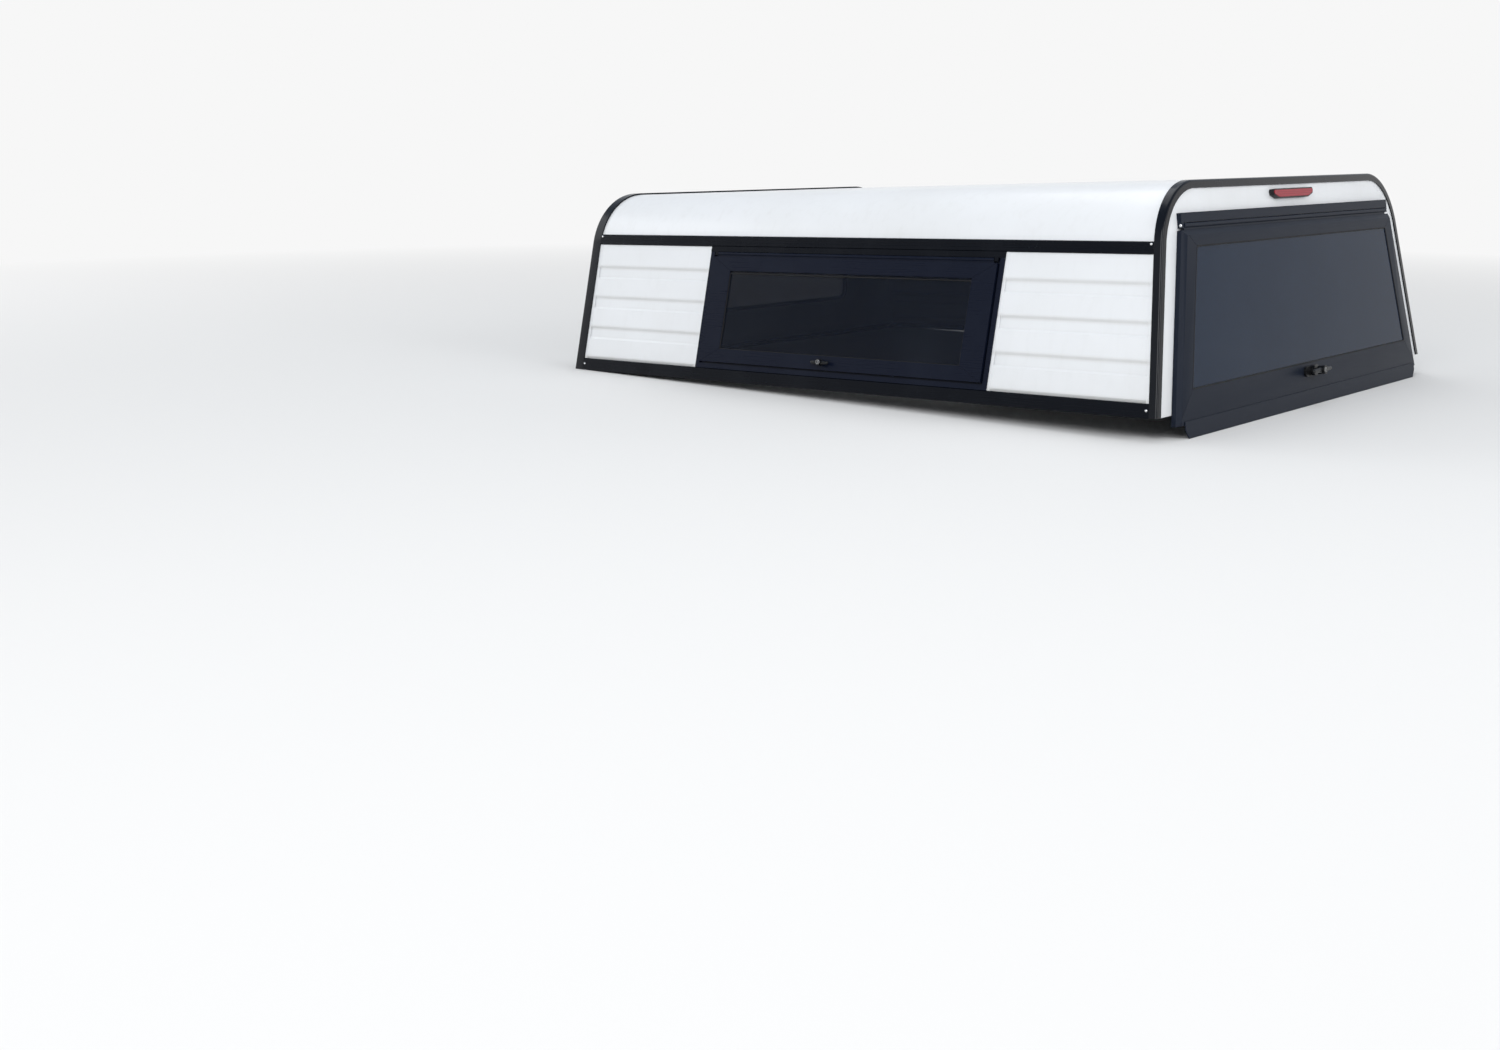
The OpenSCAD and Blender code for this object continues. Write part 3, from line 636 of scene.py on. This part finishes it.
def makeBeadRecipe():
    recipe = Recipe("beadAlongPath", {"Bead radius": "NodeSocketFloat",
                                      "Corner radius": "NodeSocketFloat",
                                      "Finish": "NodeSocketMaterial"})
    line = recipe.add("GeometryNodeMeshToCurve", Mesh=recipe.value("Geometry"))
    turned = recipe.add("GeometryNodeFilletCurve", {"mode": "POLY"}, Curve=line,
                        Count=fineness["cornerSteps"], Radius=recipe.value("Corner radius"))
    ring = recipe.add("GeometryNodeCurvePrimitiveCircle", {"mode": "RADIUS"},
                      Resolution=fineness["beadSides"], Radius=recipe.value("Bead radius"))
    return recipe.finish(recipe.add("GeometryNodeCurveToMesh", Curve=turned, ProfileCurve=ring))


def makeHeadRecipe():
    recipe = Recipe("headsOnPoints", {"Head radius": "NodeSocketFloat",
                                      "Head height": "NodeSocketFloat",
                                      "Facing": "NodeSocketVector",
                                      "Finish": "NodeSocketMaterial"})
    ball = recipe.add("GeometryNodeMeshUVSphere", Segments=fineness["headSegments"],
                      Rings=fineness["headRings"], Radius=1.0)
    size = recipe.add("ShaderNodeCombineXYZ", X=recipe.value("Head radius"),
                      Y=recipe.value("Head radius"), Z=recipe.value("Head height"))
    dome = recipe.add("GeometryNodeTransform", Geometry=ball, Scale=size)
    return recipe.finish(recipe.add("GeometryNodeInstanceOnPoints", Instance=dome,
                                    Points=recipe.value("Geometry"),
                                    Rotation=recipe.value("Facing")))


def grow(name, recipe, points, joined, values, material, body, place):
    mesh = bpy.data.meshes.new(name)
    links = {"ring": len(points), "line": len(points) - 1, "dots": 0}[joined]
    mesh.from_pydata(points, [(k, (k + 1) % len(points)) for k in range(links)], [])
    seed = bpy.data.objects.new(name + "Seed", mesh)
    bpy.context.collection.objects.link(seed)
    growth = seed.modifiers.new("grow", "NODES")
    growth.node_group = recipe
    titles = {i.name: i.identifier for i in recipe.interface.items_tree if i.in_out == "INPUT"}
    for title, value in values.items():
        growth[titles[title]] = value
    growth[titles["Finish"]] = material
    graph = bpy.context.evaluated_depsgraph_get()
    grown = bpy.data.meshes.new_from_object(seed.evaluated_get(graph))
    bpy.data.objects.remove(seed)
    tidy = bmesh.new()
    tidy.from_mesh(grown)
    bmesh.ops.remove_doubles(tidy, verts=tidy.verts, dist=fineness["weld"])
    bmesh.ops.recalc_face_normals(tidy, faces=tidy.faces)
    tidy.to_mesh(grown)
    tidy.free()
    return settle(name, grown, material, body, place)


beadRecipe = makeBeadRecipe()
headRecipe = makeHeadRecipe()
sides = {"left": 1, "right": -1}


def layBead(name, points, joined, values, body, place):
    grow(name, beadRecipe, points, joined,
         {"Bead radius": values["bead"], "Corner radius": values["turn"]},
         sealRubber, body, place)


def setHeads(name, points, values, facing, place):
    grow(name, headRecipe, points, "dots",
         {"Head radius": values["radius"], "Head height": values["height"],
          "Facing": (facing, 0, 0)},
         brightSteel, "shell", place)


# Rubber beads round the panes
rearPane = {
    "bead": 0.0024,
    "turn": 0.004,             # radius of its corners
    "stile": 0.066,            # from the door's edge to the pane's opening
    "low": 0.056,              # up the rear face
    "high": 0.406,
    "sunk": 0.0016,            # from the door's outer face
}
sidePane = {
    "bead": 0.0022,
    "turn": 0.005,
    "half": 0.429,
    "low": 0.095,
    "high": 0.322,
    "out": 0.0060,
}
windowPane = {
    "bead": 0.0024,
    "turn": 0.030,
    "half": 0.5300,
    "low": 0.1400,             # above the rails' underside
    "high": 0.3900,
    "outside": 1.0236,         # from mid length
    "inside": 1.0180,
}


def rearHalf(level):    # half the canopy's width at a level up the rear face
    return canopy["halfWidth"] - level * math.cos(rearTilt) * math.tan(sideTilt)


def rectangle(values):    # on a side wall
    middle, half, out = canopy["sideMiddle"], values["half"], values["out"]
    return [(middle - half, out, values["low"]), (middle + half, out, values["low"]),
            (middle + half, out, values["high"]), (middle - half, out, values["high"])]


edge = canopy["doorMargin"] + rearPane["stile"]
deep = canopy["doorOut"] + rearPane["sunk"]
low, high = rearPane["low"], rearPane["high"]
layBead("rearDoorGasket",
        [(deep, edge - rearHalf(low), low), (deep, rearHalf(low) - edge, low),
         (deep, rearHalf(high) - edge, high), (deep, edge - rearHalf(high), high)],
        "ring", rearPane, "rear_door", rearPlace())
for sideName, side in sides.items():
    layBead("sideDoorGasket_" + sideName, rectangle(sidePane), "ring", sidePane,
            "side_door_" + sideName, sidePlace(side))
half, low, high = (windowPane[k] for k in ("half", "low", "high"))
for face in ("outside", "inside"):
    ahead = windowPane[face]
    layBead("windowGasket_" + face,
            [(ahead, -half, low), (ahead, half, low), (ahead, half, high), (ahead, -half, high)],
            "ring", windowPane, "shell",
            Matrix.Translation((middleX, 0, canopy["seatHeight"])))
print("gaskets laid")

# Seals that the doors close on, just inside the doorways
rearSeal = {
    "bead": 0.0034,
    "turn": 0.012,
    "lap": 0.018,              # from the door's edge to the doorway
    "low": 0.004,
    "high": 0.430,
    "deep": 0.0085,
}
sideSeal = {
    "bead": 0.0024,
    "turn": 0.006,
    "half": 0.4796,
    "low": 0.0764,
    "high": 0.3626,
    "out": -0.0058,
}
edge = canopy["doorMargin"] + rearSeal["lap"] + rearSeal["bead"]
deep, low, high = rearSeal["deep"], rearSeal["low"], rearSeal["high"] - rearSeal["bead"]
layBead("rearDoorwaySeal",
        [(deep, rearHalf(low) - edge, low), (deep, rearHalf(high) - edge, high),
         (deep, edge - rearHalf(high), high), (deep, edge - rearHalf(low), low)],
        "line", rearSeal, "shell", rearPlace())
for sideName, side in sides.items():
    layBead("sideDoorwaySeal_" + sideName, rectangle(sideSeal), "ring", sideSeal, "shell",
            sidePlace(side))
print("doorway seals laid")

# Bright plugs where the side trims meet the arches
plug = {
    "radius": 0.0034,
    "height": 0.0018,
    "inset": 0.007,
}


def plugPoints(inset):
    belt = canopy["beltLevel"] + canopy["beltHeight"] - inset
    points = []
    for level in (belt, canopy["railHeight"] / 2):
        lean = level * math.cos(sideTilt) * math.tan(rearTilt)
        rearEnd = lean + canopy["rearLeg"] - canopy["halfLength"]
        frontEnd = canopy["halfLength"] - canopy["frontLeg"]
        points += [(rearEnd + inset, canopy["trimCap"], level),
                   (frontEnd - inset, canopy["trimCap"], level)]
    return points


for sideName, side in sides.items():
    setHeads("trimPlugs_" + sideName, plugPoints(plug["inset"]), plug, -math.pi / 2,
             sidePlace(side))
print("plugs set")

# Domed ends of the rear hinge's pin
pinEnd = {
    "radius": 0.0042,
    "height": 0.0016,
    "half": 0.6663,            # from the canopy's middle to the lugs' outer faces
    "level": 0.4595,
    "out": -0.0045,
}
setHeads("rearHingePinEnds",
         [(pinEnd["out"], y, pinEnd["level"]) for y in (-pinEnd["half"], pinEnd["half"])],
         pinEnd, math.pi / 2, rearPlace())
print("pin ends set")

# Lock barrels in the handles' hubs
lock = {
    "radius": 0.0062,
    "rim": 0.0008,
    "proud": 0.00015,
    "depth": 0.0012,
    "chamfer": 1.4,            # in rims
    "keyLong": 0.0068,
    "keyWide": 0.0014,
    "keyProud": 0.0001,
}
rearLock = {"stand": 0.044, "level": 0.032}
sideLock = {"ahead": 0.032, "stand": 0.022, "level": 0.075}


def lathe(profile, turns=32):
    shape = bmesh.new()
    rings = []
    for radius, height in profile:
        if radius == 0:
            rings.append([shape.verts.new((0, 0, height))])
            continue
        rings.append([shape.verts.new((radius * math.cos(2 * math.pi * k / turns),
                                       radius * math.sin(2 * math.pi * k / turns), height))
                      for k in range(turns)])
    for lower, upper in zip(rings, rings[1:]):
        for k in range(turns):
            corners = [lower[k % len(lower)], lower[(k + 1) % len(lower)],
                       upper[(k + 1) % len(upper)], upper[k % len(upper)]]
            shape.faces.new(list(dict.fromkeys(corners)))
    bmesh.ops.recalc_face_normals(shape, faces=shape.faces)
    return shape


def lockBarrel(name, values, body, place):
    radius, rim, out = values["radius"], values["rim"], values["proud"]
    floor = out - rim / 2
    shape = lathe([(0, -values["depth"]), (radius, -values["depth"]), (radius, floor),
                   (radius - rim / 2, out), (radius - rim, out),
                   (radius - values["chamfer"] * rim, floor), (0, floor)])
    mesh = bpy.data.meshes.new(name)
    shape.to_mesh(mesh)
    shape.free()
    settle(name, mesh, brightSteel, body, place, smooth=False)
    keyway = bpy.data.meshes.new(name + "Keyway")
    centre = Matrix.Translation((0, 0, floor + values["keyProud"] - rim / 2))
    cut = bmesh.new()
    bmesh.ops.create_cube(cut, size=1, matrix=centre @ Matrix.Diagonal(
        (values["keyLong"], values["keyWide"], rim, 1)))
    cut.to_mesh(keyway)
    cut.free()
    settle(name + "Keyway", keyway, sealRubber, body, place, smooth=False)


quarter = math.pi / 2
rearHub = Matrix.Translation((canopy["doorOut"] - rearLock["stand"], 0, rearLock["level"]))
lockBarrel("rearLock", lock, "rear_handle",
           rearPlace() @ rearHub @ Matrix.Rotation(-quarter, 4, "Y"))
sideHub = Matrix.Translation((canopy["sideMiddle"] + sideLock["ahead"],
                              canopy["sashOut"] + sideLock["stand"], sideLock["level"]))
for sideName, side in sides.items():
    lockBarrel("sideLock_" + sideName, lock, "side_handle_" + sideName,
               sidePlace(side) @ sideHub @ Matrix.Rotation(-quarter, 4, "X"))
print("locks fitted")

# Floor, lamps and world. The floor lies through the skirt's edge and the front rail, on which
# the canopy rests, and fades into the backdrop far behind it.
studio = {
    "floorSize": 160.0,
    "floor": (0.75, 0.75, 0.75),
    "floorGloss": 0.9,
    "floorShine": 0.1,
    "backdrop": (0.93, 0.93, 0.93),
    "overhead": (0.24, 0.31, 0.42),    # the backdrop's colour high above, out of the picture
    "paleUpTo": 0.12,                  # how steeply up a ray may look before it darkens
    "overheadFrom": 0.75,
    "fadeStart": 1.6,
    "fadeEnd": 7.0,
    "light": (0.92, 0.96, 1.0),
    "lightStrength": 0.55,
}
lamps = {
    "keyLamp": {"place": (-2.6, 5.9, 3.9), "aim": (0, 0, 0.3), "size": 3.5, "power": 192},
    "rearLamp": {"place": (-6.5, 0.5, 3.0), "aim": (0, 0, 0.3), "size": 3.0, "power": 120},
    "frontLamp": {"place": (6.0, 2.5, 3.0), "aim": (0, 0, 0.3), "size": 4.0, "power": 80},
    "topLamp": {"place": (0.5, -1.5, 6.5), "aim": (0, 0, 0.3), "size": 5.0, "power": 125},
}


def raysThatSee(nodes):    # only these see the pale backdrop, so it adds no diffuse light
    seen = nodes.add("ShaderNodeLightPath", output="IsCameraRay")
    for ray in ("IsGlossyRay", "IsTransmissionRay"):
        seen = seen.math("MAXIMUM", nodes.add("ShaderNodeLightPath", output=ray))
    return seen


def addFloor(values):
    size = values["floorSize"] / 2
    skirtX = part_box("rear_door_skirt")[0][0]
    slope = canopy["seatHeight"] / (middleX + canopy["halfLength"] - skirtX)
    corners = [(x, y, slope * (x - skirtX)) for x, y in
               ((-size, -size), (size, -size), (size, size), (-size, size))]
    mesh = bpy.data.meshes.new("studioFloor")
    mesh.from_pydata(corners, [], [(0, 1, 2, 3)])
    floor = bpy.data.objects.new("studioFloor", mesh)
    bpy.context.collection.objects.link(floor)
    plain = Finish("floorPaint", Roughness=values["floorGloss"],
                   SpecularIORLevel=values["floorShine"], BaseColor=values["floor"])
    far = (plain.x ** 2 + plain.y ** 2) ** 0.5
    glow = plain.add("ShaderNodeEmission", Color=values["backdrop"])
    painted = Wire(plain.tree, plain.shader.outputs[0])
    fading = far.ramp(values["fadeStart"], values["fadeEnd"]) * raysThatSee(plain)
    fade = plain.add("ShaderNodeMixShader", Fac=fading, Shader=painted, Shader_001=glow)
    plain.plug(plain.tree.nodes["Material Output"].inputs[0], fade)
    mesh.materials.append(plain.material)


def addWorld(values):
    world = bpy.data.worlds.new("studioWorld")
    bpy.context.scene.world = world
    world.use_nodes = True
    sky = Nodes(world.node_tree)
    light = sky.add("ShaderNodeBackground", Color=values["light"], Strength=values["lightStrength"])
    height = sky.add("ShaderNodeSeparateXYZ", output="Z",
                     Vector=sky.add("ShaderNodeTexCoord", output="Generated"))
    steep = height.ramp(values["paleUpTo"], values["overheadFrom"])
    shade = sky.mix(steep, values["backdrop"], values["overhead"])
    pale = sky.add("ShaderNodeBackground", Color=shade, Strength=1.0)
    swap = sky.add("ShaderNodeMixShader", Fac=raysThatSee(sky), Shader=light, Shader_001=pale)
    sky.plug(sky.tree.nodes["World Output"].inputs[0], swap)


def addLamp(name, values):
    data = bpy.data.lights.new(name, "AREA")
    data.size = values["size"]
    data.energy = values["power"]
    lamp = bpy.data.objects.new(name, data)
    bpy.context.collection.objects.link(lamp)
    lamp.location = values["place"]
    aim = Vector(values["aim"]) - Vector(values["place"])
    lamp.rotation_euler = aim.to_track_quat("-Z", "Y").to_euler()


addFloor(studio)
addWorld(studio)
for lampName, values in lamps.items():
    addLamp(lampName, values)
print("studio set")
